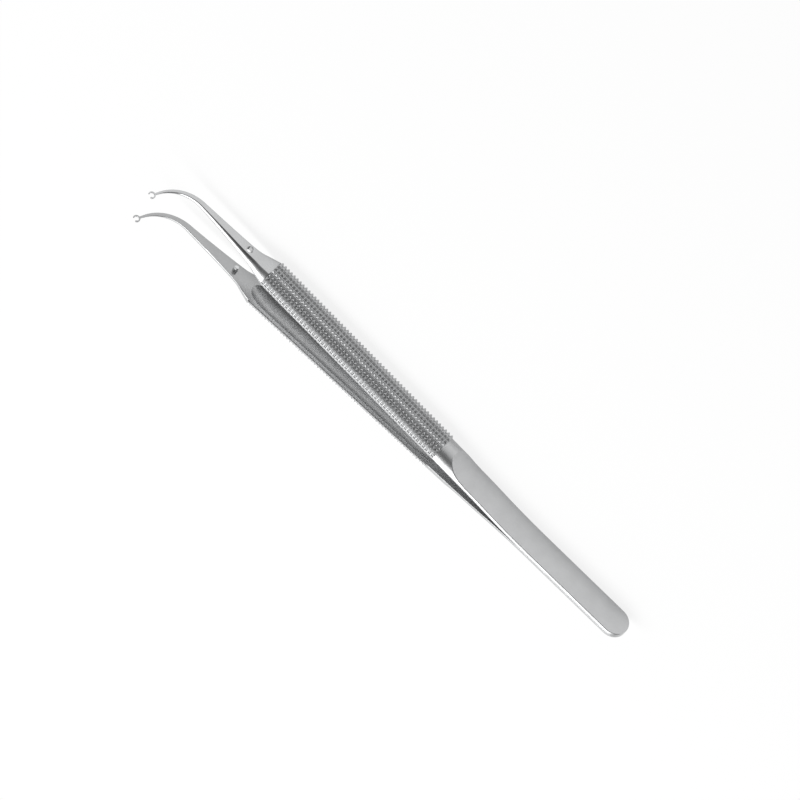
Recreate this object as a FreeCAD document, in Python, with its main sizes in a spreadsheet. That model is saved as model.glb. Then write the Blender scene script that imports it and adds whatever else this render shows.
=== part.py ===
import FreeCAD, Part

import math
import os
import re

import Sketcher

# Micro suture forceps, lying on its side as it rests on a table, in millimetres.
# +X runs from the welded rear end to the tips, +Z is up, and the two arms open along Y.
# The front of an arm is built in an arm frame: x along the arm, y outward, z up, inner face at y = 0.
# Both arms have one form, which is mirrored in Y: one is drilled for the pin, the other bored for it.

# Driving dimensions, with angles in degrees
DIMENSIONS = {
    # Spring leaf, from the welded rear end to the start of the straight arm
    "weld_length": 34.0,
    "leaf_thickness": 1.15,
    "spread_angle": 5.05,
    "spread_radius": 182.0,
    "spread_run": 1.9,
    "settle_radius": 190.0,
    "arm_angle": 2.63,
    # Half-round rod, with the run-out of the cutter that flattened the leaf
    "rod_radius": 4.36,
    "rod_length": 11.9,
    "cutter_radius": 12.0,
    # Knurled handle
    "knurl_length": 68.3,
    "knurl_crest": 5.03,
    "knurl_root": 4.42,
    "knurl_edge": 4.55,
    "knurl_rings": 58,
    "knurl_rows": 11,
    # Channel milled along the inner face of the handle
    "channel_radius": 3.45,
    "channel_lift": 0.4,
    "channel_ramp_radius": 12.0,
    "channel_rear_overrun": 2.0,
    "channel_front_overrun": 1.8,
    # Neck and jaw sections: half-width of the inner face, half-width of the outer flat, height
    "collar_half_width": 4.34,
    "collar_flat": 2.5,
    "collar_height": 4.0,
    "neck_run": 3.0,
    "neck_half_width": 3.62,
    "neck_flat": 2.03,
    "neck_height": 3.05,
    "waist_run": 6.0,
    "waist_half_width": 2.74,
    "waist_flat": 1.6,
    "waist_height": 2.3,
    "guide_run": 8.7,
    "guide_half_width": 2.38,
    "guide_flat": 1.5,
    "guide_height": 1.95,
    "slim_run": 23.6,
    "slim_half_width": 1.12,
    "slim_flat": 0.78,
    "slim_height": 1.33,
    "shank_half_width": 0.28,
    "shank_flat": 0.2,
    "shank_height": 0.5,
    "flank_bulge": 0.125,
    # Sideways sweep of the jaw and the open ring at its tip
    "sweep_run": 26.7,
    "sweep_radius": 11.5,
    "sweep_angle": 68.0,
    "ring_reach": 2.5,
    "ring_radius": 1.1,
    "ring_wire": 0.4,
    "ring_opening": 1.05,
    # Guide hole in one arm, guide pin pressed into the other
    "guide_hole_diameter": 1.8,
    "pin_diameter": 1.45,
    "pin_projection": 1.7,
    "pin_corner": 0.3,
    "pin_recess": 0.05,
}

# How far a cutter or drill reaches past the metal that it cuts
CUTTER_MARGIN = 2.0

# Values worked out from the driving dimensions
DERIVED = {
    "arm_x": "weld_length + spread_radius * sin(spread_angle * 1deg)"
             " + spread_run * cos(spread_angle * 1deg)"
             " + settle_radius * (sin(spread_angle * 1deg) - sin(arm_angle * 1deg))",
    "arm_y": "spread_radius * (1 - cos(spread_angle * 1deg))"
             " + spread_run * sin(spread_angle * 1deg)"
             " + settle_radius * (cos(arm_angle * 1deg) - cos(spread_angle * 1deg))",
    "neck_x": "rod_length + knurl_length",
    "guide_x": "neck_x + guide_run",
    "sweep_x": "neck_x + sweep_run",
    "sweep_length": "sweep_radius * sweep_angle * pi / 180",
    "shank_length": "ring_reach - ring_radius + ring_wire / 2",
    "taper_length": "sweep_run - slim_run + sweep_length + shank_length",
    "ring_x": "sweep_x + sweep_radius * sin(sweep_angle * 1deg)"
              " + ring_reach * cos(sweep_angle * 1deg)",
    "ring_z": "sweep_radius * (1 - cos(sweep_angle * 1deg))"
              " + ring_reach * sin(sweep_angle * 1deg)",
    "ramp_length": "sqrt((channel_ramp_radius + channel_radius) ^ 2"
                   " - (channel_ramp_radius + channel_lift) ^ 2)",
    "ramp_turn": "acos((channel_ramp_radius + channel_lift - %s)"
                 " / (channel_ramp_radius + channel_radius)) / 1deg" % CUTTER_MARGIN,
    "channel_start": "rod_length - channel_rear_overrun + ramp_length",
    "channel_end": "neck_x + channel_front_overrun - ramp_length",
    "overall_length": "arm_x + (ring_x + ring_radius) * cos(arm_angle * 1deg)",
    "rear_x": "-overall_length / 2",
}

# Number of equal steps of the sideways sweep, with a jaw section at each end of a step
SWEEP_STEPS = 6
# Numbers that a sketch gives its own axes and origin
X_AXIS = -1
Y_AXIS = -2
ORIGIN = (-1, 1)
# Numbers of an edge's start, end and centre
START, END, CENTRE = 1, 2, 3

Vector = FreeCAD.Vector
doc = FreeCAD.newDocument("micro_suture_forceps")
sheet = doc.addObject("Spreadsheet::Sheet", "Sizes")


def taper_formulas():
    """Place and size of the jaw sections round the sweep, between the slim one and the shank."""
    formulas = {}
    for step in range(SWEEP_STEPS + 1):
        section = "taper_%d" % step
        turn = "%s_turn * 1deg" % section
        formulas[section + "_turn"] = "sweep_angle * %d / %d" % (step, SWEEP_STEPS)
        formulas[section + "_x"] = "sweep_x + sweep_radius * sin(%s)" % turn
        formulas[section + "_z"] = "sweep_radius * (1 - cos(%s))" % turn
        formulas[section + "_share"] = (
            "(sweep_run - slim_run + sweep_length * %d / %d) / taper_length" % (step, SWEEP_STEPS))
        for measure in ("half_width", "flat", "height"):
            formulas["%s_%s" % (section, measure)] = (
                "slim_%s + %s_share * (shank_%s - slim_%s)" % (measure, section, measure, measure))
    return formulas


def fill_sheet():
    """Write every dimension into the sheet, with its name beside it and as its alias."""
    cells = [(name, str(value)) for name, value in DIMENSIONS.items()]
    cells += [(name, "=" + formula) for name, formula in DERIVED.items()]
    cells += [(name, "=" + formula) for name, formula in taper_formulas().items()]
    for row, (name, content) in enumerate(cells, start=1):
        sheet.set("A%d" % row, name)
        sheet.set("B%d" % row, content)
        sheet.setAlias("B%d" % row, name)
    doc.recompute()


def size(name):
    """The number that a cell of the sheet holds."""
    return float(getattr(sheet, name))


def bound(formula):
    """A formula on the sheet's names, as other objects have to write it."""
    return re.sub(r"[a-z]+(_[a-z0-9]+)+", r"Sizes.\g<0>", formula)


def place(item, x="0", y="0", z="0", yaw="0", pitch="0", roll="0", target="Placement"):
    """Bind a placement to formulas on the sheet."""
    where = "vector(%s; %s; %s)" % (x, y, z)
    turn = "rotation(%s; %s; %s)" % (yaw, pitch, roll)
    item.setExpression(target, bound("placement(%s; %s)" % (where, turn)))


def place_in_arm(item, x="0", y="0", roll="0"):
    """Place an object of the arm frame in the whole forceps."""
    along = "rear_x + arm_x + (%s) * cos(arm_angle * 1deg) - (%s) * sin(arm_angle * 1deg)" % (x, y)
    outward = "arm_y + (%s) * sin(arm_angle * 1deg) + (%s) * cos(arm_angle * 1deg)" % (x, y)
    place(item, along, outward, "knurl_edge", yaw="arm_angle", roll=roll)


def add_sketch(body, name, role):
    """A sketch on one of its body's own origin planes."""
    sketch = body.newObject("Sketcher::SketchObject", name)
    plane = next(item for item in body.Origin.OriginFeatures if item.Role == role)
    sketch.AttachmentSupport = [(plane, "")]
    sketch.MapMode = "FlatFace"
    return sketch


def line(start, end):
    """A straight sketch edge between two points of the sketch plane."""
    return Part.LineSegment(Vector(*start), Vector(*end))


def arc(centre, radius, first, last):
    """A sketch arc that runs counter-clockwise between two angles in degrees."""
    circle = Part.Circle(Vector(*centre), Vector(0, 0, 1), radius)
    return Part.ArcOfCircle(circle, math.radians(first), math.radians(last))


def arc_through(start, middle, end):
    """A sketch arc through three points."""
    return Part.Arc(Vector(*start), Vector(*middle), Vector(*end))


def join_loop(sketch, count):
    """Tie the end of each of the first edges to the start of the next, round the loop."""
    for edge in range(count):
        sketch.addConstraint(Sketcher.Constraint("Coincident", edge, END, (edge + 1) % count, START))


def drive(sketch, formula, *constraint):
    """Add a dimension to a sketch and bind it to a formula on the sheet."""
    index = sketch.addConstraint(Sketcher.Constraint(*constraint))
    sketch.setExpression("Constraints[%d]" % index, bound(formula))


def rule(sketch, *constraints):
    """Add geometric constraints to a sketch."""
    for constraint in constraints:
        sketch.addConstraint(Sketcher.Constraint(*constraint))


def draw_leaf_path(body):
    """Centre line of the leaf on its inner face: welded run, spreading bend, run, settling bend."""
    weld, run = size("weld_length"), size("spread_run")
    spread, settle = size("spread_radius"), size("settle_radius")
    steep, shallow = math.radians(size("spread_angle")), math.radians(size("arm_angle"))
    bend_end = (weld + spread * math.sin(steep), spread * (1 - math.cos(steep)))
    run_end = (bend_end[0] + run * math.cos(steep), bend_end[1] + run * math.sin(steep))
    settle_centre = (run_end[0] + settle * math.sin(steep), run_end[1] - settle * math.cos(steep))
    sketch = add_sketch(body, "leaf_path", "XY_Plane")
    welded, spreading, straight, settling = 0, 1, 2, 3
    sketch.addGeometry([
        line((0, 0), (weld, 0)),
        arc((weld, spread), spread, 270, 270 + math.degrees(steep)),
        line(bend_end, run_end),
        arc(settle_centre, settle, 90 + math.degrees(shallow), 90 + math.degrees(steep)),
    ])
    rule(sketch, ("Coincident", welded, START, *ORIGIN), ("Horizontal", welded),
         ("Tangent", welded, END, spreading, START), ("Tangent", spreading, END, straight, START),
         ("Tangent", straight, END, settling, END))
    drive(sketch, "weld_length", "Distance", welded, weld)
    drive(sketch, "spread_radius", "Radius", spreading, spread)
    drive(sketch, "spread_angle * 1deg", "Angle", straight, steep)
    drive(sketch, "spread_run", "Distance", straight, run)
    drive(sketch, "settle_radius", "Radius", settling, settle)
    drive(sketch, "(spread_angle - arm_angle) * 1deg", "Angle", settling, steep - shallow)
    return sketch


def draw_leaf_section(body):
    """Flattened half-round that the leaf keeps of the rod: x is outward, y is up."""
    radius, thick = size("rod_radius"), size("leaf_thickness")
    half = math.sqrt(radius ** 2 - thick ** 2)
    slope = math.degrees(math.asin(thick / radius))
    sketch = add_sketch(body, "leaf_section", "YZ_Plane")
    lower, outer, upper, inner = 0, 1, 2, 3
    sketch.addGeometry([
        arc((0, 0), radius, -90, slope - 90),
        line((thick, -half), (thick, half)),
        arc((0, 0), radius, 90 - slope, 90),
        line((0, radius), (0, -radius)),
    ])
    join_loop(sketch, 4)
    rule(sketch, ("Coincident", lower, CENTRE, *ORIGIN), ("Coincident", upper, CENTRE, *ORIGIN),
         ("Symmetric", inner, START, inner, END, *ORIGIN), ("Vertical", inner), ("Vertical", outer))
    drive(sketch, "rod_radius", "Radius", lower, radius)
    drive(sketch, "leaf_thickness", "DistanceX", *ORIGIN, outer, START, thick)
    return sketch


def draw_end_trim(body):
    """What is cut off the rear corners to leave a half-round end as wide as the leaf."""
    radius = size("rod_radius")
    far = radius + CUTTER_MARGIN
    sketch = add_sketch(body, "end_trim", "XZ_Plane")
    rounding, low_step, low_side, rear_side, high_side, high_step = range(6)
    sketch.addGeometry([
        arc((radius, 0), radius, 90, 270),
        line((radius, -radius), (radius, -far)),
        line((radius, -far), (-CUTTER_MARGIN, -far)),
        line((-CUTTER_MARGIN, -far), (-CUTTER_MARGIN, far)),
        line((-CUTTER_MARGIN, far), (radius, far)),
        line((radius, far), (radius, radius)),
    ])
    join_loop(sketch, 6)
    rule(sketch, ("PointOnObject", rounding, CENTRE, X_AXIS),
         ("Vertical", rounding, CENTRE, rounding, START), ("Vertical", rounding, CENTRE, rounding, END),
         ("Vertical", low_step), ("Horizontal", low_side), ("Vertical", rear_side),
         ("Horizontal", high_side), ("Vertical", high_step), ("Equal", low_step, high_step),
         ("DistanceY", low_step, END, low_step, START, CUTTER_MARGIN),
         ("DistanceX", rear_side, START, *ORIGIN, CUTTER_MARGIN))
    drive(sketch, "rod_radius", "Radius", rounding, radius)
    drive(sketch, "rod_radius", "DistanceX", *ORIGIN, rounding, CENTRE, radius)
    return sketch


def cut_through(body, sketch, name, reach):
    """Cut a sketch's outline out of a body on both sides of its plane."""
    pocket = body.newObject("PartDesign::Pocket", name)
    pocket.Profile = sketch
    pocket.Midplane = True
    pocket.setExpression("Length", bound(reach))
    return pocket


def make_leaf():
    """Spring leaf with its rounded rear end, bent away from the other arm."""
    body = doc.addObject("PartDesign::Body", "leaf")
    section = draw_leaf_section(body)
    path = draw_leaf_path(body)
    doc.recompute()
    bar = body.newObject("PartDesign::AdditivePipe", "leaf_bar")
    bar.Profile = section
    bar.Spine = (path, ["Edge%d" % number for number in range(1, 5)])
    cut_through(body, draw_end_trim(body), "rounded_end", "4 * leaf_thickness")
    place(body, "rear_x", "0", "knurl_edge")
    return body


def make_rod():
    """Smooth half-round rod, with the hollow run-out of the round cutter above the leaf."""
    body = doc.addObject("PartDesign::Body", "rod")
    radius = size("rod_radius")
    section = add_sketch(body, "rod_section", "YZ_Plane")
    crown, inner = 0, 1
    section.addGeometry([arc((0, 0), radius, -90, 90), line((0, radius), (0, -radius))])
    join_loop(section, 2)
    rule(section, ("Coincident", crown, CENTRE, *ORIGIN), ("PointOnObject", inner, START, Y_AXIS),
         ("PointOnObject", inner, END, Y_AXIS))
    drive(section, "rod_radius", "Radius", crown, radius)
    bar = body.newObject("PartDesign::Pad", "rod_bar")
    bar.Profile = section
    bar.setExpression("Length", bound("rod_length"))
    wheel = add_sketch(body, "cutter_wheel", "XY_Plane")
    cutter, thick = size("cutter_radius"), size("leaf_thickness")
    wheel.addGeometry(Part.Circle(Vector(0, thick + cutter), Vector(0, 0, 1), cutter))
    rule(wheel, ("PointOnObject", 0, CENTRE, Y_AXIS))
    drive(wheel, "cutter_radius", "Radius", 0, cutter)
    drive(wheel, "leaf_thickness + cutter_radius", "DistanceY", *ORIGIN, 0, CENTRE, thick + cutter)
    cut_through(body, wheel, "cutter_run_out", "4 * rod_radius")
    return body


def knurl_point(radius, x, angle):
    """A point of the knurl, by its distance from the axis and its angle from straight outward."""
    return Vector(x, radius * math.cos(angle), radius * math.sin(angle))


def make_knurl():
    """Half-round handle with a square knurl: rings and rows of four-sided points.

    The points of the first and last row are ground down level with the edge of the inner face,
    so that the forceps lie on them.
    """
    rings, rows = int(size("knurl_rings")), int(size("knurl_rows"))
    crest, root, edge = size("knurl_crest"), size("knurl_root"), size("knurl_edge")
    pitch, turn = size("knurl_length") / rings, math.pi / rows
    angles = [row * turn - math.pi / 2 for row in range(rows + 1)]
    faces = []
    for ring in range(rings):
        rear, front = ring * pitch, (ring + 1) * pitch
        for low, high in zip(angles, angles[1:]):
            tip = knurl_point(crest, (rear + front) / 2, (low + high) / 2)
            tip.z = max(-edge, min(tip.z, edge))
            base = [knurl_point(root, x, a) for x, a in
                    ((rear, low), (front, low), (front, high), (rear, high))]
            for first, second in zip(base, base[1:] + base[:1]):
                faces.append(Part.Face(Part.makePolygon([first, second, tip, first])))
    for x in (0, rings * pitch):
        rim = [knurl_point(root, x, angle) for angle in angles]
        faces.append(Part.Face(Part.makePolygon(rim + rim[:1])))
    low_edge = [knurl_point(root, ring * pitch, angles[0]) for ring in range(rings + 1)]
    high_edge = [knurl_point(root, ring * pitch, angles[-1]) for ring in range(rings, -1, -1)]
    faces.append(Part.Face(Part.makePolygon(low_edge + high_edge + low_edge[:1])))
    shell = Part.makeShell(faces)
    shell.sewShape()
    knurl = doc.addObject("Part::Feature", "knurl")
    knurl.Shape = Part.makeSolid(shell)
    place(knurl, "rod_length")
    return knurl


def draw_jaw_section(body, section):
    """A neck or jaw section: flat inside, flat outside, rounded flanks; x is outward, y is up."""
    half, flat, tall = [size("%s_%s" % (section, measure))
                        for measure in ("half_width", "flat", "height")]
    bulge = size("flank_bulge")
    middle = (tall / 2 + bulge * (half - flat), (half + flat) / 2 + bulge * tall)
    flank_radius = math.hypot(half - flat, tall) * (0.25 + bulge ** 2) / (2 * bulge)
    sketch = add_sketch(body, section + "_section", "YZ_Plane")
    lower, outer, upper, inner = 0, 1, 2, 3
    sketch.addGeometry([
        arc_through((0, -half), (middle[0], -middle[1]), (tall, -flat)),
        line((tall, -flat), (tall, flat)),
        arc_through((tall, flat), middle, (0, half)),
        line((0, half), (0, -half)),
    ])
    join_loop(sketch, 4)
    rule(sketch, ("Symmetric", inner, START, inner, END, *ORIGIN), ("Vertical", inner),
         ("Symmetric", outer, START, outer, END, X_AXIS), ("Equal", lower, upper))
    drive(sketch, "2 * %s_half_width" % section, "Distance", inner, 2 * half)
    drive(sketch, "2 * %s_flat" % section, "Distance", outer, 2 * flat)
    drive(sketch, "%s_height" % section, "DistanceX", *ORIGIN, outer, START, tall)
    chord = "sqrt((%s_half_width - %s_flat) ^ 2 + %s_height ^ 2)" % (section, section, section)
    drive(sketch, chord + " * (0.25 + flank_bulge ^ 2) / (2 * flank_bulge)",
          "Radius", lower, flank_radius)
    return sketch


def make_neck_and_jaw(body):
    """Neck and jaw as one loft, straight to the sweep and then round it to the shank."""
    sections = []
    for section in ("collar", "neck", "waist", "guide", "slim"):
        run = "" if section == "collar" else " + %s_run" % section
        sections.append(draw_jaw_section(body, section))
        place(sections[-1], z="neck_x" + run, target="AttachmentOffset")
    for step in range(SWEEP_STEPS + 1):
        section = "taper_%d" % step
        sections.append(draw_jaw_section(body, section))
        place(sections[-1], y=section + "_z", z=section + "_x", roll="-%s_turn" % section,
              target="AttachmentOffset")
    sections.append(draw_jaw_section(body, "shank"))
    last = "taper_%d" % SWEEP_STEPS
    place(sections[-1], y=last + "_z + shank_length * sin(sweep_angle * 1deg)",
          z=last + "_x + shank_length * cos(sweep_angle * 1deg)", roll="-sweep_angle",
          target="AttachmentOffset")
    doc.recompute()
    loft = body.newObject("PartDesign::AdditiveLoft", "neck_and_jaw")
    loft.Profile = sections[0]
    loft.Sections = sections[1:]
    loft.Ruled = True


def make_ring(body):
    """Small flat ring at the tip, open straight ahead of the shank."""
    disc = add_sketch(body, "ring_outline", "XZ_Plane")
    place(disc, x="ring_x", y="ring_z", yaw="sweep_angle", target="AttachmentOffset")
    outer, inner = size("ring_radius"), size("ring_radius") - size("ring_wire")
    disc.addGeometry([Part.Circle(Vector(), Vector(0, 0, 1), outer),
                      Part.Circle(Vector(), Vector(0, 0, 1), inner)])
    rule(disc, ("Coincident", 0, CENTRE, *ORIGIN), ("Coincident", 1, CENTRE, *ORIGIN))
    drive(disc, "ring_radius", "Radius", 0, outer)
    drive(disc, "ring_radius - ring_wire", "Radius", 1, inner)
    ring = body.newObject("PartDesign::Pad", "ring")
    ring.Profile = disc
    ring.Reversed = True
    ring.setExpression("Length", bound("shank_height"))
    slot = add_sketch(body, "ring_slot", "XZ_Plane")
    place(slot, x="ring_x", y="ring_z", yaw="sweep_angle", target="AttachmentOffset")
    far, half = 2 * outer, size("ring_opening") / 2
    low, end, high, start = 0, 1, 2, 3
    slot.addGeometry([
        line((0, -half), (far, -half)),
        line((far, -half), (far, half)),
        line((far, half), (0, half)),
        line((0, half), (0, -half)),
    ])
    join_loop(slot, 4)
    rule(slot, ("Symmetric", start, START, start, END, *ORIGIN), ("Vertical", start),
         ("Horizontal", low), ("Horizontal", high), ("Vertical", end))
    drive(slot, "ring_opening", "Distance", start, 2 * half)
    drive(slot, "2 * ring_radius", "Distance", low, far)
    cut_through(body, slot, "ring_gap", "4 * shank_height")


def make_jaw():
    """Neck, jaw and ring, which were ground from the front of the bar."""
    body = doc.addObject("PartDesign::Body", "jaw")
    make_neck_and_jaw(body)
    make_ring(body)
    return body


def make_ramp(name, x, yaw):
    """Space that the ball-ended cutter sweeps as it curves out of the metal."""
    ramp = doc.addObject("Part::Torus", name)
    ramp.setExpression("Radius1", bound("channel_ramp_radius"))
    ramp.setExpression("Radius2", bound("channel_radius"))
    ramp.setExpression("Angle3", bound("ramp_turn"))
    place(ramp, x, "-channel_lift - channel_ramp_radius", yaw=yaw)
    return ramp


def make_channel():
    """All that the cutter takes out of the inner face: a straight run and a ramp out at each end."""
    run = doc.addObject("Part::Cylinder", "channel_run")
    run.setExpression("Radius", bound("channel_radius"))
    run.setExpression("Height", bound("channel_end - channel_start"))
    place(run, "channel_start", "-channel_lift", pitch="90")
    cutter = doc.addObject("Part::MultiFuse", "channel_cutter")
    cutter.Shapes = [
        run,
        make_ramp("rear_ramp", "channel_start", "90"),
        make_ramp("front_ramp", "channel_end", "90 - ramp_turn"),
    ]
    return cutter


def make_blank():
    """One whole arm on the +Y side, before its guide hole or pin seat is drilled."""
    bar = doc.addObject("Part::MultiFuse", "front_bar")
    bar.Shapes = [make_rod(), make_knurl(), make_jaw()]
    front = doc.addObject("Part::Cut", "arm_front")
    front.Base = bar
    front.Tool = make_channel()
    place_in_arm(front)
    blank = doc.addObject("Part::MultiFuse", "arm_blank")
    blank.Shapes = [make_leaf(), front]
    return blank


def drill_arm(name, blank, diameter):
    """A copy of the blank, drilled square to its inner face at the guide station."""
    drill = doc.addObject("Part::Cylinder", name + "_drill")
    drill.setExpression("Radius", bound(diameter + " / 2"))
    drill.setExpression("Height", bound("guide_height + 2 * %s" % CUTTER_MARGIN))
    place_in_arm(drill, x="guide_x", y="-%s" % CUTTER_MARGIN, roll="-90")
    drilled = doc.addObject("Part::Cut", name)
    drilled.Base = blank
    drilled.Tool = drill
    return drilled


def make_hole_arm(blank):
    """Arm on the -Y side, with the guide hole right through its jaw."""
    arm = doc.addObject("Part::Mirroring", "hole_arm")
    arm.Source = drill_arm("bored_arm", blank, "guide_hole_diameter")
    arm.Normal = (0, 1, 0)
    return arm


def make_guide_pin():
    """Pin pressed into the pin arm: flush outside, standing proud of the inner face."""
    body = doc.addObject("PartDesign::Body", "guide_pin")
    radius, corner = size("pin_diameter") / 2, size("pin_corner")
    head, tip = size("guide_height") - size("pin_recess"), -size("pin_projection")
    half = add_sketch(body, "pin_outline", "XY_Plane")
    axis, nose, rounding, side, seat = range(5)
    half.addGeometry([
        line((0, head), (0, tip)),
        line((0, tip), (radius - corner, tip)),
        arc((radius - corner, tip + corner), corner, 270, 360),
        line((radius, tip + corner), (radius, head)),
        line((radius, head), (0, head)),
    ])
    join_loop(half, 5)
    rule(half, ("PointOnObject", axis, START, Y_AXIS), ("Vertical", axis), ("Horizontal", nose),
         ("Vertical", side), ("Horizontal", seat),
         ("Vertical", rounding, CENTRE, rounding, START), ("Horizontal", rounding, CENTRE, rounding, END))
    drive(half, "pin_corner", "Radius", rounding, corner)
    drive(half, "pin_diameter / 2", "DistanceX", *ORIGIN, rounding, END, radius)
    drive(half, "guide_height - pin_recess", "DistanceY", *ORIGIN, axis, START, head)
    drive(half, "pin_projection", "DistanceY", axis, END, *ORIGIN, -tip)
    pin = body.newObject("PartDesign::Revolution", "pin")
    pin.Profile = half
    pin.ReferenceAxis = (half, ["V_Axis"])
    pin.Angle = 360
    place_in_arm(body, x="guide_x")
    return body


def check_document():
    """Stop if anything in the document failed to build."""
    for item in doc.Objects:
        if "Invalid" in item.State or "Error" in item.State:
            raise RuntimeError("%s failed: %s" % (item.Label, item.State))


def write_part(item):
    """Check one finished piece and write its solid under its own name."""
    shape = item.Shape
    if shape.isNull() or not shape.isValid() or len(shape.Solids) != 1:
        raise RuntimeError("%s is not one valid solid" % item.Label)
    shape.exportStep("parts/%s.step" % item.Label)
    box = shape.BoundBox
    print("%-10s %9.2f mm3  x %.2f %.2f  y %.2f %.2f  z %.2f %.2f" % (
        item.Label, shape.Volume, box.XMin, box.XMax, box.YMin, box.YMax, box.ZMin, box.ZMax))


fill_sheet()
arm_blank = make_blank()
pieces = [
    make_hole_arm(arm_blank),
    drill_arm("pin_arm", arm_blank, "pin_diameter"),
    make_guide_pin(),
]
doc.recompute()
check_document()
os.makedirs("parts", exist_ok=True)
for piece in pieces:
    write_part(piece)
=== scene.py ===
import math

import bmesh
import bpy
from mathutils import Matrix, Vector


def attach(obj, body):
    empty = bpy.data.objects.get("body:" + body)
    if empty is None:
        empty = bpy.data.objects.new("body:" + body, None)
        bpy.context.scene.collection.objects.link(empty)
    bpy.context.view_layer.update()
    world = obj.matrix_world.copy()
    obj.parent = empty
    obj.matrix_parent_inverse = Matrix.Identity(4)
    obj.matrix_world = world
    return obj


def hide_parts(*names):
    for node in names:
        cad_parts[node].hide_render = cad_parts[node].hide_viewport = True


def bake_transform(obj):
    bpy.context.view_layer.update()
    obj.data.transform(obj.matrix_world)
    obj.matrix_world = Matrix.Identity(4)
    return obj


# Looks of the micro suture forceps. Sizes are in millimetres, as the solids have them, until a mesh
# is made. Each arm is one skin of cross-sections, run from the rear end to the tip along its own path.
# An outline is a list of (outward, across) points, counted from the middle of the arm's inner face.
# Both arms are made where the pin arm is, and the hole arm is then mirrored.

MM = 0.001

# Spring leaf: the bend that closes the forceps lies between the weld and BEND_END
WELD_LENGTH = 34.0
LEAF_THICKNESS = 1.15
SPREAD_ANGLE = math.radians(5.05)
SPREAD_RADIUS = 182.0
SPREAD_RUN = 1.9
SETTLE_RADIUS = 190.0
ARM_ANGLE = math.radians(2.63)

# Half-round rod and the run-out of the cutter that flattened the leaf
ROD_RADIUS = 4.36
ROD_LENGTH = 11.9
CUTTER_RADIUS = 12.0

# Knurled handle: each crest is a small flat, and each groove has a flat floor, in shares of the pitch.
# The first and last row are ground down level with the edge of the inner face.
KNURL_LENGTH = 68.3
KNURL_CREST = 5.02
KNURL_ROOT = 4.4
KNURL_EDGE = 4.55
KNURL_RINGS = 58
KNURL_ROWS = 11
GROOVE_SHARE = 0.08
CREST_SHARE = 0.1

# Channel in the inner face
CHANNEL_RADIUS = 3.45
CHANNEL_LIFT = 0.4
CHANNEL_RAMP_RADIUS = 12.0
CHANNEL_REAR_OVERRUN = 2.0
CHANNEL_FRONT_OVERRUN = 1.8

# Neck and jaw: distance from the neck, half-width inside, half-width of the outer flat, height
JAW_SECTIONS = [
    (0.0, 4.34, 2.5, 4.0),
    (3.0, 3.62, 2.03, 3.05),
    (6.0, 2.74, 1.5, 2.3),
    (8.7, 2.38, 1.38, 1.95),
    (23.6, 1.12, 0.78, 1.33),
]
SHANK_SECTION = (0.28, 0.2, 0.5)
FLANK_BULGE = 0.125
SWEEP_RUN = 26.7
SWEEP_RADIUS = 11.5
SWEEP_ANGLE = math.radians(68.0)

# Open ring at the tip: its ends narrow over RING_END_LENGTH to a share of the wire
RING_REACH = 2.5
RING_RADIUS = 1.1
RING_WIRE = 0.4
RING_CORNER = 0.1
RING_OPENING = 1.05
RING_END_LENGTH = 0.2
RING_END_SHARE = 0.5

# Guide hole, and the drill that makes it, which starts outside the jaw
GUIDE_RUN = 8.7
GUIDE_HEIGHT = 1.95
HOLE_RADIUS = 0.9
SINK = 0.1
DRILL_OVERRUN = 1.0

# Guide pin: PIN_RING is a ring of points inside the jaw that keeps the shaft's shading straight, and
# PIN_CENTRE the radius of the small face that closes each end
PIN_RADIUS = 0.725
PIN_PROJECTION = 1.7
PIN_RECESS = 0.05
PIN_CHAMFER = 0.06
PIN_NOSE = 0.3
PIN_RING = 0.3
PIN_CENTRE = 0.02
NOSE_STEPS = 8
ROUND_STEPS = 48

# Rounding of the long edges, the crisp ones beside the jaw's outer flat and at the seam between the
# leaves, and the broken edge of the handle's inner face
EDGE = 0.26
CRISP_EDGE = 0.1
BROKEN_EDGE = 0.26

# The most that a rounding takes of an edge, and of the jaw's height, where it has points between its
# ends, and how narrow the leaf's rear end is where its roundings start to shrink
ROUNDING_LIMIT = 0.4
JAW_ROUNDING = 1 / 6
ROUNDING_SHARES = (1 / 3, 2 / 3)
ROUNDING_START = 0.25

# Numbers of points along the edges of an outline, and how close to each end, as a share of the edge,
# a point keeps the shading of the face flat
FACE_POINTS = 4
CHANNEL_POINTS = 21
FLANK_POINTS = 12
OUTER_POINTS = 18
HOLD = 0.04

# Steps from one cross-section to the next: along the arm, in degrees round its rear end, and as angles
# round the cutter's run-out and the ring. Then the numbers of steps along the ends of the channel.
LEAF_STEP = 1.0
ROD_STEP = 0.6
JAW_STEP = 0.8
SWEEP_STEP = 0.5
ROUND_END_STEP = 4
RUN_OUT_STEP = math.radians(4)
RING_STEP = math.radians(5)
REAR_MOUTH_STEPS = 10
FRONT_MOUTH_STEPS = 6

# Mesh: points nearer than the first are one, edges shorter than the second are dropped, and a face of
# the knurl is split where its corners are further than FLAT_LIMIT out of flat. The cuts that grind the
# handle reach GRIND_MARGIN past its ends. Edges sharper than SHARP_ANGLE break the smooth shading.
MERGE_DISTANCE = 0.0005
SHORTEST_EDGE = 0.0002
FLAT_LIMIT = 0.02
GRIND_MERGE = 0.001
GRIND_MARGIN = 1.0
SHARP_ANGLE = math.radians(38)

# Steel colours, scales of the brushed grain along each axis, and depth of its relief
ARM_COLOUR = (0.57, 0.575, 0.58)
PIN_COLOUR = (0.68, 0.685, 0.69)
ARM_GRAIN = (120, 5200, 5200)
PIN_GRAIN = (3000, 900, 3000)
GRAIN_DETAIL = 6.0
ARM_BUMP = 0.2
PIN_BUMP = 0.1
RELIEF_DEPTH = 0.02

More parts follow.
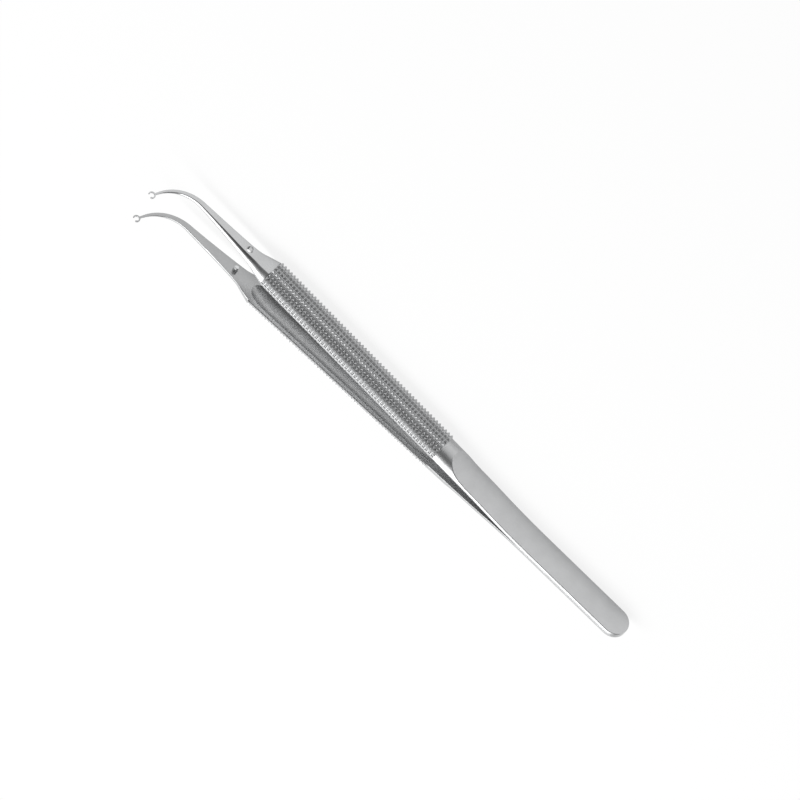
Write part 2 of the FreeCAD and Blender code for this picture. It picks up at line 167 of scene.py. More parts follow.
# Finishes: roughness, and the level of the inner faces' colour against the outsides, which is painted
# light and shade: the inner faces of leaf and handle are painted lighter, and those of neck and jaw,
# which face each other, are painted darker as shade between the arms. Leaf and handle are satin, and
# the jaw is brighter from the neck on, where the finish and the painted shade change over
# FINISH_CHANGE.
SATIN_FINISH_AND_PAINTED_LIGHT = (0.4, 1.07)
NECK_FINISH_AND_PAINTED_SHADE = (0.3, 0.82)
JAW_FINISH_AND_PAINTED_SHADE = (0.2, 0.76)
PIN_FINISH = (0.2, 1.0)
FINISH_CHANGE = 1.0

# Unevenness of the steel, as stops of (noise, level): cloudy patches in the colour, which span the
# given part of the noise, and streaks in the roughness
CLOUD_GRAIN = (260, 260, 260)
CLOUD_DETAIL = 3.0
CLOUD_SPAN = (0.3, 0.7)
CLOUD_LEVELS = ((0.35, 0.975), (0.65, 1.025))
STREAK_LEVELS = ((0.3, 0.85), (0.7, 1.0))

# Inner faces, which carry the painted light and shade: how much a surface counts as one, by how far it
# looks away from the middle plane, and how much rougher than the outsides it is
INNER_LEVELS = ((-0.9, 1.0), (-0.3, 0.0))
INNER_ROUGHENING = 1.1

# Table: half its width in metres, its colour, and the share of its look that is plain white paper,
# which only lightens the shadow on it, less so in the steel, where more of the shadow shows
TABLE_REACH = 3.0
TABLE_COLOUR = (0.94, 0.94, 0.94, 1)
WHITE_SHARES = (("Is Camera Ray", 0.85), ("Is Transmission Ray", 0.85), ("Is Glossy Ray", 0.5))

# Dark part of the studio: its middle, as an angle from straight ahead (-Y) up over the top, how much
# a direction along the forceps counts towards leaving it, and brightness by nearness to its middle
DARK_ANGLE = math.radians(57)
DARK_NARROWING = 0.35
DARK_LEVELS = ((-0.6, 1.0), (0.54, 0.8), (0.836, 0.76), (0.93, 0.17), (0.98, 0.1))

# Brightness of the studio towards the rear end (-X), whose wall is dark, as (x of the direction, level)
WALL_LEVELS = ((-1.0, 0.25), (-0.8, 0.4), (-0.35, 1.0), (1.0, 1.0))

# Soft box: its angle from straight ahead (-Y) up over the top to the back, sizes in metres, and watts
LAMP_ANGLE = math.radians(115)
LAMP_DISTANCE = 0.9
LAMP_LENGTH = 1.6
LAMP_WIDTH = 0.55
LAMP_POWER = 7.3

# The photograph's view: direction, turn of the picture, and scale in metres, as fitted to the solids
VIEW_AZIMUTH = math.radians(-4.8)
VIEW_ELEVATION = math.radians(33.0)
VIEW_ROLL = math.radians(133.29)
VIEW_DISTANCE = 1.6
VIEW_REACH = 20.0
PICTURE_WIDTH = 0.223
PICTURE_SHIFT = (-0.00081, -0.00037)
SENSOR_WIDTH = 36.0

# Sizes and places that follow from the ones above, along the arm from where the rod grows out
SPREAD_LENGTH = SPREAD_RADIUS * SPREAD_ANGLE
SETTLE_LENGTH = SETTLE_RADIUS * (SPREAD_ANGLE - ARM_ANGLE)
LEAF_LENGTH = WELD_LENGTH + SPREAD_LENGTH + SPREAD_RUN + SETTLE_LENGTH
NECK_X = ROD_LENGTH + KNURL_LENGTH
GUIDE_X = NECK_X + GUIDE_RUN
SWEEP_X = NECK_X + SWEEP_RUN
SWEEP_LENGTH = SWEEP_RADIUS * SWEEP_ANGLE
RING_X = SWEEP_X + SWEEP_RADIUS * math.sin(SWEEP_ANGLE) + RING_REACH * math.cos(SWEEP_ANGLE)
RING_Z = SWEEP_RADIUS * (1 - math.cos(SWEEP_ANGLE)) + RING_REACH * math.sin(SWEEP_ANGLE)
RING_MIDDLE = RING_RADIUS - RING_WIRE / 2
SHANK_LENGTH = RING_REACH - RING_RADIUS + RING_WIRE / 2
JAW_LENGTH = SWEEP_RUN + SWEEP_LENGTH + SHANK_LENGTH
RAMP_LENGTH = math.sqrt((CHANNEL_RAMP_RADIUS + CHANNEL_RADIUS) ** 2
                        - (CHANNEL_RAMP_RADIUS + CHANNEL_LIFT) ** 2)
CHANNEL_START = ROD_LENGTH - CHANNEL_REAR_OVERRUN + RAMP_LENGTH
CHANNEL_END = NECK_X + CHANNEL_FRONT_OVERRUN - RAMP_LENGTH


def heading_vector(angle):
    """Unit vector at an angle from +X, in the plane of the table."""
    return Vector((math.cos(angle), math.sin(angle), 0))


def leaf_point(run):
    """Where the leaf's inner face is after a run from the rear end, and which way it heads."""
    if run <= WELD_LENGTH:
        return Vector((run, 0, 0)), 0.0
    spread = min(run - WELD_LENGTH, SPREAD_LENGTH)
    angle = spread / SPREAD_RADIUS
    point = Vector((WELD_LENGTH + SPREAD_RADIUS * math.sin(angle),
                    SPREAD_RADIUS * (1 - math.cos(angle)), 0))
    left = run - WELD_LENGTH - spread
    direct = min(left, SPREAD_RUN)
    point += direct * heading_vector(angle)
    settle = (left - direct) / SETTLE_RADIUS
    point += SETTLE_RADIUS * Vector((math.sin(angle) - math.sin(angle - settle),
                                     math.cos(angle - settle) - math.cos(angle), 0))
    return point, angle - settle


ARM_POINT = leaf_point(LEAF_LENGTH)[0]
OVERALL_LENGTH = ARM_POINT.x + (RING_X + RING_RADIUS) * math.cos(ARM_ANGLE)
ROW_SHIFT = Vector((-OVERALL_LENGTH / 2, 0, KNURL_EDGE))
ALONG = heading_vector(ARM_ANGLE)
OUTWARD = heading_vector(ARM_ANGLE + math.pi / 2)
UP = Vector((0, 0, 1))


def in_arm(x, y, z):
    """A point of the arm frame, in the row frame."""
    return ROW_SHIFT + ARM_POINT + x * ALONG + y * OUTWARD + z * UP


def in_metres(x):
    """A place along the arm, as the row's x in metres."""
    return in_arm(x, 0, 0).x * MM


def even(count):
    """Evenly spaced shares of an edge."""
    return [step / (count - 1) for step in range(count)]


def held(count):
    """Evenly spaced shares of an edge, but with the first and last ones close to its ends."""
    return [0.0] + [HOLD + (1 - 2 * HOLD) * share for share in even(count - 2)] + [1.0]


def arched(share, start, control, end):
    """Place at a share of a curve from start to end that is pulled towards a control point."""
    return tuple((1 - share) ** 2 * a + 2 * share * (1 - share) * c + share ** 2 * b
                 for a, c, b in zip(start, control, end))


def straight(start, end, count, rounding):
    """A straight edge of an outline."""
    return (lambda share: tuple(a + (b - a) * share for a, b in zip(start, end)),
            math.dist(start, end), held(count), (rounding, rounding))


def trace(edges):
    """Closed outline through edges (curve, length, shares, rounding of each end), corners rounded."""
    lines = []
    for curve, length, shares, rounding in edges:
        start, end = [min(cut, ROUNDING_LIMIT * length) / length if length > 0 else 0
                      for cut in rounding]
        lines.append([curve(start + (1 - start - end) * share) for share in shares])
    points = []
    for number, line in enumerate(lines):
        corner = edges[number][0](1)
        following = lines[(number + 1) % len(lines)][0]
        points += line
        points += [arched(share, line[-1], corner, following) for share in ROUNDING_SHARES]
    return points


def past_channel(x):
    """How far a place is from the stretch where the channel has its full depth."""
    return max(CHANNEL_START - x, x - CHANNEL_END, 0)


def channel_depth(x, across):
    """How deep the channel is at a place of the inner face."""
    reach = CHANNEL_RAMP_RADIUS + math.sqrt(max(CHANNEL_RADIUS ** 2 - across ** 2, 0))
    left = math.sqrt(max(reach ** 2 - past_channel(x) ** 2, 0))
    return max(left - CHANNEL_RAMP_RADIUS - CHANNEL_LIFT, 0.0)


def channel_half_width(x):
    """Half the width of the channel's mouth, which is nothing where there is no channel."""
    drop = math.hypot(CHANNEL_RAMP_RADIUS + CHANNEL_LIFT, past_channel(x)) - CHANNEL_RAMP_RADIUS
    return math.sqrt(max(CHANNEL_RADIUS ** 2 - drop ** 2, 0))


def inner_edges(half, x):
    """Inner face of an outline, from its upper edge across the channel to its lower edge."""
    mouth = 0.0 if x is None else channel_half_width(x)

    def hollow(share):
        across = mouth * math.cos(share * math.pi)
        return channel_depth(x, across) if mouth else 0.0, across

    return [
        straight((0, half), (0, mouth), FACE_POINTS, CRISP_EDGE),
        (hollow, 2 * mouth, even(CHANNEL_POINTS), (CRISP_EDGE / 2, CRISP_EDGE / 2)),
        straight((0, -mouth), (0, -half), FACE_POINTS, CRISP_EDGE),
    ]


def flanked_outline(half, flat, tall, x, flank, length, roundings):
    """Outline with the inner face, a flat outside, and the given flank below and mirrored above."""
    inner, outer = roundings

    def upper(share):
        out, across = flank(1 - share)
        return out, -across

    return trace(inner_edges(half, x) + [
        (flank, length, held(FLANK_POINTS), (inner, outer)),
        straight((tall, -flat), (tall, flat), OUTER_POINTS, outer),
        (upper, length, held(FLANK_POINTS), (outer, inner)),
    ])


def bar_outline(thickness, x=None, narrowing=1.0):
    """Half-round bar cut down to a thickness, and narrowed where its rear end is rounded."""
    slope = math.asin(min(thickness / ROD_RADIUS, 1))
    flat = ROD_RADIUS * math.cos(slope) * narrowing

    def flank(share):
        angle = share * slope
        return ROD_RADIUS * math.sin(angle), -ROD_RADIUS * math.cos(angle) * narrowing

    length = ROD_RADIUS * slope * min(narrowing / ROUNDING_START, 1)
    return flanked_outline(ROD_RADIUS * narrowing, flat, thickness, x, flank, length,
                           (CRISP_EDGE, EDGE))


def jaw_outline(half, flat, tall, x):
    """Neck or jaw: flat inside and outside, with bulging flanks."""
    start, end = (0, -half), (tall, -flat)
    middle = (tall / 2 + FLANK_BULGE * (half - flat), -(half + flat) / 2 - FLANK_BULGE * tall)
    control = [2 * m - (a + b) / 2 for m, a, b in zip(middle, start, end)]
    roundings = [min(edge, tall * JAW_ROUNDING) for edge in (EDGE, CRISP_EDGE)]
    return flanked_outline(half, flat, tall, x, lambda share: arched(share, start, control, end),
                           math.dist(start, end), roundings)


def knurl_marks(count):
    """Places along a run of knurl points, in pitches: both edges of each groove and each crest."""
    marks = []
    for number in range(count):
        marks += [number + GROOVE_SHARE / 2, number + (1 - CREST_SHARE) / 2,
                  number + (1 + CREST_SHARE) / 2, number + 1 - GROOVE_SHARE / 2]
    return [0.0] + marks + [float(count)]


def knurl_rise(mark):
    """1 on a crest and 0 in a groove."""
    return 1.0 if GROOVE_SHARE < mark % 1 < 1 - GROOVE_SHARE else 0.0


def knurl_outline(ring_mark, x):
    """Half-round bar whose outside has the points of one ring of the knurl."""
    outer = []
    for mark in knurl_marks(KNURL_ROWS):
        rise = knurl_rise(mark) * knurl_rise(ring_mark)
        radius = KNURL_ROOT + (KNURL_CREST - KNURL_ROOT) * rise
        angle = mark / KNURL_ROWS * math.pi
        outer.append((radius * math.sin(angle), -radius * math.cos(angle)))

    def crests(share):
        return outer[round(share * (len(outer) - 1))]

    return trace(inner_edges(KNURL_ROOT, x) + [(crests, 0, even(len(outer)), (0, 0))])


def ring_profile():
    """Section of the ring's wire, as wide as the shank is thick, with rounded corners."""
    half, thick = RING_WIRE / 2, SHANK_SECTION[2]
    corners = [(0, -half), (thick, -half), (thick, half), (0, half)]
    return trace([straight(start, end, FACE_POINTS, RING_CORNER)
                  for start, end in zip(corners, corners[1:] + corners[:1])])


def spaced(start, end, step):
    """Evenly spaced places from one to another, about a step apart."""
    count = max(round(abs(end - start) / step), 1)
    return [start + (end - start) * number / count for number in range(count + 1)]


def eased(runs, values, run):
    """Value at a run of a smooth curve through points that has no overshoot."""
    slopes = [(b - a) / (end - start)
              for a, b, start, end in zip(values, values[1:], runs, runs[1:])]
    between = [2 * a * b / (a + b) if a * b > 0 else 0 for a, b in zip(slopes, slopes[1:])]
    tangents = [slopes[0]] + between + [slopes[-1]]
    number = next((at for at, end in enumerate(runs[1:-1]) if run <= end), len(slopes) - 1)
    length = runs[number + 1] - runs[number]
    t = (run - runs[number]) / length
    return (values[number] * (2 * t ** 3 - 3 * t ** 2 + 1)
            + values[number + 1] * (3 * t ** 2 - 2 * t ** 3)
            + length * tangents[number] * (t ** 3 - 2 * t ** 2 + t)
            + length * tangents[number + 1] * (t ** 3 - t ** 2))


def lay_outline(outline, origin, outward, across):
    """The points of an outline where its cross-section stands."""
    return [origin + out * outward + side * across for out, side in outline]


def leaf_rings():
    """Cross-sections of the leaf, with its half-round rear end."""
    rounded = [ROD_RADIUS * (1 - math.cos(math.radians(angle)))
               for angle in range(0, 90, ROUND_END_STEP)]
    rings = []
    for run in rounded + spaced(ROD_RADIUS, LEAF_LENGTH, LEAF_STEP)[:-1]:
        point, heading = leaf_point(run)
        shortfall = max(1 - run / ROD_RADIUS, 0)
        outline = bar_outline(LEAF_THICKNESS, narrowing=math.sqrt(1 - shortfall ** 2))
        outward = heading_vector(heading + math.pi / 2)
        rings.append(lay_outline(outline, ROW_SHIFT + point, outward, UP))
    return rings


def rod_rings():
    """Cross-sections of the smooth rod, which grow out of the leaf along the cutter's run-out."""
    slope = math.asin(LEAF_THICKNESS / ROD_RADIUS)
    places = []
    for angle in spaced(slope, math.pi / 2, RUN_OUT_STEP):
        thickness = ROD_RADIUS * math.sin(angle)
        drop = CUTTER_RADIUS - (thickness - LEAF_THICKNESS)
        places.append((math.sqrt(max(CUTTER_RADIUS ** 2 - drop ** 2, 0)), thickness))
    channel_rear = CHANNEL_START - RAMP_LENGTH
    smooth = spaced(places[-1][0], channel_rear, ROD_STEP)[1:]
    smooth += [channel_rear + CHANNEL_REAR_OVERRUN * (step / REAR_MOUTH_STEPS) ** 2
               for step in range(1, REAR_MOUTH_STEPS + 1)]
    places += [(x, ROD_RADIUS) for x in smooth]
    return [lay_outline(bar_outline(thickness, x), in_arm(x, 0, 0), OUTWARD, UP)
            for x, thickness in places]


def knurl_rings():
    """Cross-sections of the knurled handle."""
    pitch = KNURL_LENGTH / KNURL_RINGS
    places = [(mark, ROD_LENGTH + mark * pitch) for mark in knurl_marks(KNURL_RINGS)]
    return [lay_outline(knurl_outline(mark, x), in_arm(x, 0, 0), OUTWARD, UP) for mark, x in places]


def jaw_place(run):
    """Where a cross-section of the neck or jaw stands after a run from the neck, and its way across."""
    turn = min(max(run - SWEEP_RUN, 0) / SWEEP_RADIUS, SWEEP_ANGLE)
    beyond = max(run - SWEEP_RUN - SWEEP_LENGTH, 0)
    x = NECK_X + min(run, SWEEP_RUN) + SWEEP_RADIUS * math.sin(turn) + beyond * math.cos(turn)
    z = SWEEP_RADIUS * (1 - math.cos(turn)) + beyond * math.sin(turn)
    return in_arm(x, 0, z), math.cos(turn) * UP - math.sin(turn) * ALONG


def jaw_rings():
    """Cross-sections of the neck and jaw, straight at first and then round the sweep to the shank."""
    runs, *measures = zip(*JAW_SECTIONS, (JAW_LENGTH, *SHANK_SECTION))
    stations = [CHANNEL_FRONT_OVERRUN * (1 - (1 - step / FRONT_MOUTH_STEPS) ** 2)
                for step in range(FRONT_MOUTH_STEPS)]
    stations += spaced(CHANNEL_FRONT_OVERRUN, SWEEP_RUN, JAW_STEP)
    stations += spaced(SWEEP_RUN, SWEEP_RUN + SWEEP_LENGTH, SWEEP_STEP)[1:] + [JAW_LENGTH]
    rings = []
    for run in stations:
        half, flat, tall = [eased(runs, values, run) for values in measures]
        origin, across = jaw_place(run)
        outline = jaw_outline(half, flat, tall, NECK_X + run)
        rings.append(lay_outline(outline, origin, OUTWARD, across))
    return rings


def tip_ring_rings():
    """Cross-sections of the open ring, with rounded ends."""
    profile = ring_profile()
    middle = SHANK_SECTION[2] / 2
    first = math.asin(RING_OPENING / 2 / RING_MIDDLE)
    last = 2 * math.pi - first
    end_angle = RING_END_LENGTH / RING_MIDDLE
    rings = []
    for angle in spaced(first, last, RING_STEP):
        from_end = min(angle - first, last - angle, end_angle) / end_angle
        shrink = math.sqrt(1 - (1 - from_end) ** 2 * (1 - RING_END_SHARE ** 2))
        outline = [(middle + (out - middle) * shrink, across * shrink) for out, across in profile]
        turn = SWEEP_ANGLE + angle
        radial = math.cos(turn) * ALONG + math.sin(turn) * UP
        centre = in_arm(RING_X, 0, RING_Z) + RING_MIDDLE * radial
        rings.append(lay_outline(outline, centre, OUTWARD, radial))
    return rings


def turned_rings(profile):
    """Cross-sections of a round piece about the guide axis, from (radius, height) points."""
    angles = [2 * math.pi * step / ROUND_STEPS for step in range(ROUND_STEPS)]
    return [[in_arm(GUIDE_X + radius * math.cos(angle), height, radius * math.sin(angle))
             for angle in angles] for radius, height in profile]


def skin_rings(mesh, rings, capped):
    """Join neighbouring cross-sections with faces."""
    corners = [[mesh.verts.new(point * MM) for point in ring] for ring in rings]
    count = len(rings[0])
    for first, second in zip(corners, corners[1:]):
        for number in range(count):
            following = (number + 1) % count
            mesh.faces.new((first[number], first[following], second[following], second[number]))
    if capped:
        mesh.faces.new(corners[0])
        mesh.faces.new(corners[-1])


def ridge_height(point):
    """Distance of a point from the middle line of the arm's inner face."""
    offset = point / MM - ROW_SHIFT - ARM_POINT
    return math.hypot(offset.dot(OUTWARD), offset.z)


def split_knurl(mesh):
    """Split the corner faces of each knurl point along its ridge."""
    for face in list(mesh.faces):
        if len(face.verts) != 4:
            continue
        a, b, c, d = face.verts
        bulge = (c.co - a.co).cross(d.co - b.co)
        if bulge.length == 0:
            continue
        offset = (b.co - a.co).dot(bulge.normalized())
        if abs(offset) < FLAT_LIMIT * MM:
            continue
        outward_a = ridge_height(a.co) + ridge_height(c.co)
        outward_b = ridge_height(b.co) + ridge_height(d.co)
        pair = (a, c) if outward_a > outward_b else (b, d)
        bmesh.utils.face_split(face, *pair)


def grind_edges(mesh):
    """Grind the knurl points beside the inner face down level, break that edge, and close each cut."""
    rear = in_metres(ROD_LENGTH) - GRIND_MARGIN * MM
    front = in_metres(NECK_X) + GRIND_MARGIN * MM
    cuts = []
    for side in (-1, 1):
        cuts.append((in_arm(0, 0, side * KNURL_EDGE), side * UP))
        cuts.append((in_arm(0, BROKEN_EDGE, side * KNURL_EDGE), side * UP - OUTWARD))
    for place, facing in cuts:
        handle = [face for face in mesh.faces
                  if all(rear < corner.co.x < front for corner in face.verts)]
        edges = list(dict.fromkeys(edge for face in handle for edge in face.edges))
        corners = list(dict.fromkeys(corner for face in handle for corner in face.verts))
        cut = bmesh.ops.bisect_plane(
            mesh, geom=handle + edges + corners, dist=GRIND_MERGE * MM, clear_outer=True,
            plane_co=place * MM, plane_no=facing.normalized())
        rims = [item for item in cut["geom_cut"] if isinstance(item, bmesh.types.BMEdge)]
        bmesh.ops.holes_fill(mesh, edges=rims)


def new_object(name, mesh):
    """Object of a finished bmesh, with its faces turned outwards."""
    bmesh.ops.recalc_face_normals(mesh, faces=mesh.faces)
    data = bpy.data.meshes.new(name)
    mesh.to_mesh(data)
    mesh.free()
    item = bpy.data.objects.new(name, data)
    bpy.context.scene.collection.objects.link(item)
    return item


def skinned(name, rings, capped=False, ground=False):
    """Object skinned over cross-sections."""
    mesh = bmesh.new()
    skin_rings(mesh, rings, capped)
    bmesh.ops.remove_doubles(mesh, verts=mesh.verts, dist=MERGE_DISTANCE * MM)
    bmesh.ops.dissolve_degenerate(mesh, edges=mesh.edges, dist=SHORTEST_EDGE * MM)
    split_knurl(mesh)
    if ground:
        grind_edges(mesh)
    return new_object(name, mesh)


def close_tip(arm):
    """Close the open end of the skin inside the ring."""
    mesh = bmesh.new()
    mesh.from_mesh(arm.data)
    bmesh.ops.holes_fill(mesh, edges=[edge for edge in mesh.edges if edge.is_boundary])
    bmesh.ops.recalc_face_normals(mesh, faces=mesh.faces)
    mesh.to_mesh(arm.data)
    mesh.free()


def combine(item, tool, operation):
    """Join a tool to an object or cut it out, and delete the tool."""
    cut = item.modifiers.new("combine", "BOOLEAN")
    cut.operation = operation
    cut.solver = "EXACT"
    cut.object = tool
    bpy.context.view_layer.update()
    graph = bpy.context.evaluated_depsgraph_get()
    shaped = bpy.data.meshes.new_from_object(item.evaluated_get(graph))
    item.modifiers.remove(cut)
    item.data = shaped
    bpy.data.objects.remove(tool)


def smooth(item):
    """Smooth shading that breaks at sharp edges."""
    item.data.shade_smooth()
    item.data.set_sharp_from_angle(angle=SHARP_ANGLE)


def drill(radius):
    """Drill with a countersink at both faces of the jaw."""
    widest = radius + SINK + DRILL_OVERRUN
    profile = [(widest, -DRILL_OVERRUN), (radius, SINK), (radius, GUIDE_HEIGHT - SINK),
               (widest, GUIDE_HEIGHT + DRILL_OVERRUN)]
    return skinned("drill", turned_rings(profile), capped=True)


def make_arm(name, hole_radius, mirrored):
    """One arm as a single skin, drilled, with its open ring."""
    arm = skinned(name, leaf_rings() + rod_rings() + knurl_rings() + jaw_rings(), ground=True)
    close_tip(arm)
    combine(arm, skinned("tip_ring", tip_ring_rings(), capped=True), "UNION")
    combine(arm, drill(hole_radius), "DIFFERENCE")
    if mirrored:
        arm.data.transform(Matrix.Scale(-1, 4, Vector((0, 1, 0))))
        arm.data.flip_normals()
    smooth(arm)
    return arm


def make_pin():
    """Guide pin with a flush head and a rounded nose."""
    head = GUIDE_HEIGHT - PIN_RECESS
    profile = [(PIN_CENTRE, head), (PIN_RADIUS - PIN_CHAMFER, head), (PIN_RADIUS, head - PIN_CHAMFER),
               (PIN_RADIUS, PIN_RING), (PIN_RADIUS, PIN_NOSE - PIN_PROJECTION)]
    for step in range(1, NOSE_STEPS + 1):
        angle = math.pi / 2 * step / NOSE_STEPS
        profile.append((PIN_RADIUS - PIN_NOSE * (1 - math.cos(angle)),
                        PIN_NOSE * (1 - math.sin(angle)) - PIN_PROJECTION))
    profile.append((PIN_CENTRE, -PIN_PROJECTION))
    pin = skinned("guide_pin_turned", turned_rings(profile), capped=True)
    smooth(pin)
    return pin


def add_node(nodes, kind, inputs, **settings):
    """Node with its settings, and with its inputs set to values or linked to other nodes' outputs."""
    node = nodes.new(kind)
    for name, value in settings.items():
        setattr(node, name, value)
    for name, value in inputs.items():
        if isinstance(value, bpy.types.NodeSocket):
            nodes.id_data.links.new(value, node.inputs[name])
        else:
            node.inputs[name].default_value = value
    return node


def ramp_node(nodes, source, start, end, stops):
    """Colour ramp over a value that goes from start to end, with (value, grey or colour) stops."""
    span = add_node(nodes, "ShaderNodeMapRange", {"Value": source, "From Min": start, "From Max": end})
    ramp = add_node(nodes, "ShaderNodeValToRGB", {"Fac": span.outputs["Result"]})
    points = ramp.color_ramp.elements
    points.remove(points[0])
    for number, (value, tone) in enumerate(stops):
        place = (value - start) / (end - start)
        point = points.new(place) if number else points[0]
        point.position = place
        point.color = (tone, tone, tone, 1) if isinstance(tone, float) else (*tone, 1)
    return ramp.outputs["Color"]


def product(nodes, first, second):
    """Product of two values."""
    times = add_node(nodes, "ShaderNodeMath", {0: first, 1: second}, operation="MULTIPLY")
    return times.outputs["Value"]


def multiplied(nodes, share, colour, level):
    """A colour multiplied by a level, as far as a share says."""
    mix = add_node(nodes, "ShaderNodeMix", {"Factor": share, "A": colour, "B": level},
                   data_type="RGBA", blend_type="MULTIPLY")
    return mix.outputs["Result"]


def noise(nodes, place, grain, detail):
    """Noise with a scale for each axis."""
    stretch = add_node(nodes, "ShaderNodeMapping", {"Vector": place, "Scale": grain})
    pattern = add_node(nodes, "ShaderNodeTexNoise",
                       {"Vector": stretch.outputs["Vector"], "Scale": 1.0, "Detail": detail})
    return pattern.outputs["Fac"]


def axis_value(nodes, vector, axis):
    """One axis of a vector."""
    return add_node(nodes, "ShaderNodeSeparateXYZ", {"Vector": vector}).outputs[axis]


def inner_share(nodes, place):
    """1 on the inner faces of the arms, which look at the middle plane, and 0 on their outsides."""
    side = add_node(nodes, "ShaderNodeMath", {0: axis_value(nodes, place.outputs["Object"], "Y")},
                    operation="SIGN")
    away = product(nodes, side.outputs["Value"], axis_value(nodes, place.outputs["Normal"], "Y"))
    return ramp_node(nodes, away, -1.0, 1.0, INNER_LEVELS)


def steel(name, colour, finish_and_shade_stops, grain, bump):
    """Satin steel: brushed grain over cloudy patches, rougher on the inner faces of the arms, whose
    colour carries painted light and shade.

    Stops along the length give place, roughness, and the level of the inner faces' colour there, which
    is painted light above 1 and painted shade below 1.
    """
    material = bpy.data.materials.new(name)
    material.use_nodes = True
    nodes = material.node_tree.nodes
    place = nodes.new("ShaderNodeTexCoord")
    along = axis_value(nodes, place.outputs["Object"], "X")
    ends = finish_and_shade_stops[0][0], finish_and_shade_stops[-1][0]
    inner = inner_share(nodes, place)

    clouds = noise(nodes, place.outputs["Object"], CLOUD_GRAIN, CLOUD_DETAIL)
    tones = [(value, tuple(part * level for part in colour)) for value, level in CLOUD_LEVELS]
    tone = ramp_node(nodes, clouds, *CLOUD_SPAN, tones)
    # Painted light and shade on the inner faces: their colour is lighter along leaf and handle, darker
    # on neck and jaw
    painted_inner_shade = ramp_node(nodes, along, *ends, [(x, level) for x, _, level in finish_and_shade_stops])

    streaks = noise(nodes, place.outputs["Object"], grain, GRAIN_DETAIL)
    uneven = ramp_node(nodes, streaks, 0.0, 1.0, STREAK_LEVELS)
    finish = ramp_node(nodes, along, *ends, [(x, rough) for x, rough, _ in finish_and_shade_stops])
    duller = add_node(nodes, "ShaderNodeMapRange",
                      {"Value": inner, "To Min": 1.0, "To Max": INNER_ROUGHENING})
    relief = add_node(nodes, "ShaderNodeBump",
                      {"Height": streaks, "Strength": bump, "Distance": RELIEF_DEPTH * MM})

    shader = nodes["Principled BSDF"]
    shader.inputs["Metallic"].default_value = 1.0
    for socket, source in (
            ("Base Color", multiplied(nodes, inner, tone, painted_inner_shade)),
            ("Roughness", product(nodes, product(nodes, finish, uneven), duller.outputs["Result"])),
            ("Normal", relief.outputs["Normal"])):
        material.node_tree.links.new(source, shader.inputs[socket])
    return material


def table_material():
    """Pale matt table, whose white shows to the camera and in the steel but lights nothing."""
    material = bpy.data.materials.new("pale_table")
    material.use_nodes = True
    nodes = material.node_tree.nodes
    nodes.remove(nodes["Principled BSDF"])
    path = nodes.new("ShaderNodeLightPath")
    share = 0.0
    for ray, white_share in WHITE_SHARES:
        part = add_node(nodes, "ShaderNodeMath", {0: path.outputs[ray], 1: white_share, 2: share},
                        operation="MULTIPLY_ADD", use_clamp=True)
        share = part.outputs["Value"]
    matt = add_node(nodes, "ShaderNodeBsdfDiffuse", {"Color": TABLE_COLOUR})
    white = nodes.new("ShaderNodeEmission")
    blend = add_node(nodes, "ShaderNodeMixShader",
                     {0: share, 1: matt.outputs["BSDF"], 2: white.outputs["Emission"]})
    surface = nodes["Material Output"].inputs["Surface"]
    material.node_tree.links.new(blend.outputs["Shader"], surface)
    return material


def add_table():
    """Plain pale table under the forceps."""
    mesh = bmesh.new()
    bmesh.ops.create_grid(mesh, x_segments=1, y_segments=1, size=TABLE_REACH)
    table = new_object("table", mesh)
    table.data.materials.append(table_material())


def add_world():
    """Pale studio room with a dark part above and behind the camera, which the steel picks up."""
    world = bpy.data.worlds.new("studio")
    bpy.context.scene.world = world
    world.use_nodes = True
    nodes = world.node_tree.nodes
    direction = nodes.new("ShaderNodeTexCoord").outputs["Generated"]
    widened = add_node(nodes, "ShaderNodeVectorMath", {0: direction, 1: (DARK_NARROWING, 1, 1)},
                       operation="MULTIPLY")
    unit = add_node(nodes, "ShaderNodeVectorMath", {0: widened.outputs["Vector"]},
                    operation="NORMALIZE")
    darkest = (0, -math.cos(DARK_ANGLE), math.sin(DARK_ANGLE))
    nearness = add_node(nodes, "ShaderNodeVectorMath", {0: unit.outputs["Vector"], 1: darkest},
                        operation="DOT_PRODUCT")
    room = ramp_node(nodes, nearness.outputs["Value"], -1.0, 1.0, DARK_LEVELS)
    wall = ramp_node(nodes, axis_value(nodes, direction, "X"), -1.0, 1.0, WALL_LEVELS)
    colour = multiplied(nodes, 1.0, room, wall)
    world.node_tree.links.new(colour, nodes["Background"].inputs["Color"])


def add_lamp():
    """Soft box over the forceps."""
    lamp = bpy.data.lights.new("top_soft_box", "AREA")
    lamp.shape = "RECTANGLE"
    lamp.size = LAMP_LENGTH
    lamp.size_y = LAMP_WIDTH
    lamp.energy = LAMP_POWER
    item = bpy.data.objects.new("top_soft_box", lamp)
    item.location = (0, -LAMP_DISTANCE * math.cos(LAMP_ANGLE), LAMP_DISTANCE * math.sin(LAMP_ANGLE))
    item.rotation_euler = (math.pi / 2 - LAMP_ANGLE, 0, 0)
    bpy.context.scene.collection.objects.link(item)


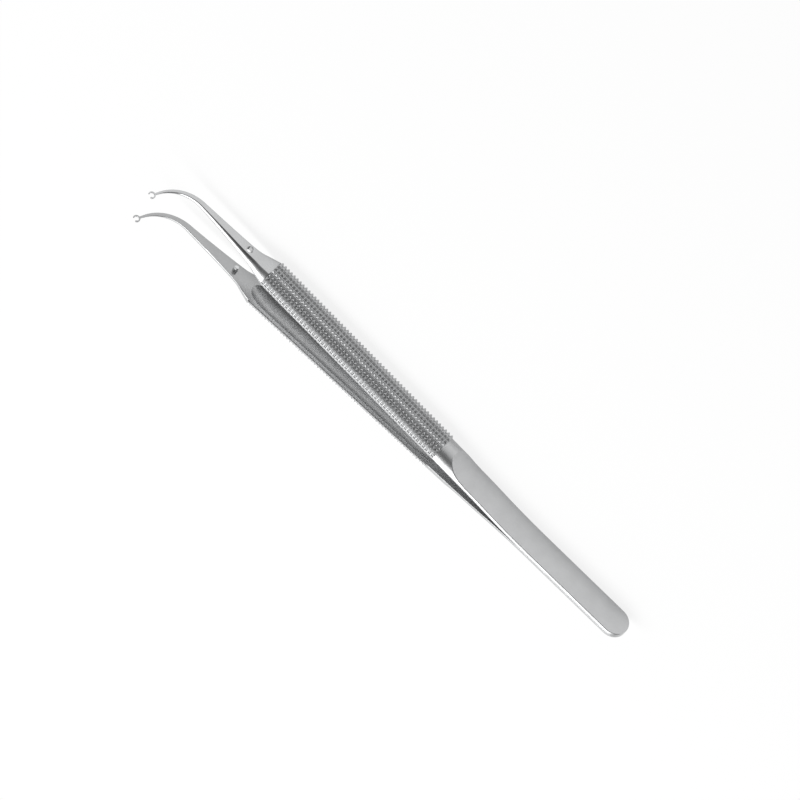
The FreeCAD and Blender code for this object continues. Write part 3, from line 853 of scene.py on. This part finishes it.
def add_camera():
    """Long-lens camera at the photograph's viewing angle."""
    back = Vector((math.sin(VIEW_AZIMUTH) * math.cos(VIEW_ELEVATION),
                   -math.cos(VIEW_AZIMUTH) * math.cos(VIEW_ELEVATION), math.sin(VIEW_ELEVATION)))
    level = Vector((math.cos(VIEW_AZIMUTH), math.sin(VIEW_AZIMUTH), 0))
    rise = back.cross(level)
    right = math.cos(VIEW_ROLL) * level - math.sin(VIEW_ROLL) * rise
    up = math.sin(VIEW_ROLL) * level + math.cos(VIEW_ROLL) * rise
    lens = bpy.data.cameras.new("camera")
    lens.sensor_width = SENSOR_WIDTH
    lens.lens = SENSOR_WIDTH * VIEW_DISTANCE / PICTURE_WIDTH
    lens.clip_end = VIEW_REACH
    camera = bpy.data.objects.new("camera", lens)
    target = PICTURE_SHIFT[0] * right + PICTURE_SHIFT[1] * up
    turn = Matrix((right, up, back)).transposed().to_4x4()
    camera.matrix_world = Matrix.Translation(target + VIEW_DISTANCE * back) @ turn
    bpy.context.scene.collection.objects.link(camera)
    bpy.context.scene.camera = camera


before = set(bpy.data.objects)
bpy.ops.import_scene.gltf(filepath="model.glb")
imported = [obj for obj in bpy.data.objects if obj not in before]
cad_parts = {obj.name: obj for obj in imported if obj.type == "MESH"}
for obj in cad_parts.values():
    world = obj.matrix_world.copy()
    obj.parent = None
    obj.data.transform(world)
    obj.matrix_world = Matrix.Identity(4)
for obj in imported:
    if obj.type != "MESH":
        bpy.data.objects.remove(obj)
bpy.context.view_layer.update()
bpy.context.scene.view_settings.view_transform = "Standard"

rear, neck, guide, tip = [in_metres(x) for x in (-LEAF_LENGTH, NECK_X, GUIDE_X, RING_X)]
# Roughness along the arm, and painted light and shade on its inner faces: lighter on leaf and handle,
# darker on neck and jaw
arm_finish_and_shade_stops = [(rear, *SATIN_FINISH_AND_PAINTED_LIGHT), (neck - FINISH_CHANGE * MM, *SATIN_FINISH_AND_PAINTED_LIGHT),
                (neck, *NECK_FINISH_AND_PAINTED_SHADE), (guide, *JAW_FINISH_AND_PAINTED_SHADE), (tip, *JAW_FINISH_AND_PAINTED_SHADE)]
pin_finishes = [(rear, *PIN_FINISH), (tip, *PIN_FINISH)]
arm_steel = steel("satin_arm_steel", ARM_COLOUR, arm_finish_and_shade_stops, ARM_GRAIN, ARM_BUMP)
pin_steel = steel("bright_pin_steel", PIN_COLOUR, pin_finishes, PIN_GRAIN, PIN_BUMP)

pin_arm = make_arm("pin_arm_steel_skin", PIN_RADIUS, mirrored=False)
hole_arm = make_arm("hole_arm_steel_skin", HOLE_RADIUS, mirrored=True)
guide_pin = make_pin()
for piece, node, material, slot in (
        (pin_arm, "pin_arm", arm_steel, "arm_steel"),
        (hole_arm, "hole_arm", arm_steel, "arm_steel"),
        (guide_pin, "guide_pin", pin_steel, "pin_steel")):
    piece.data.materials.clear()
    piece.data.materials.append(material)
    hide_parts(node)

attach(pin_arm, "pin_side")
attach(guide_pin, "pin_side")
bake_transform(hole_arm)

add_table()
add_world()
add_lamp()
add_camera()
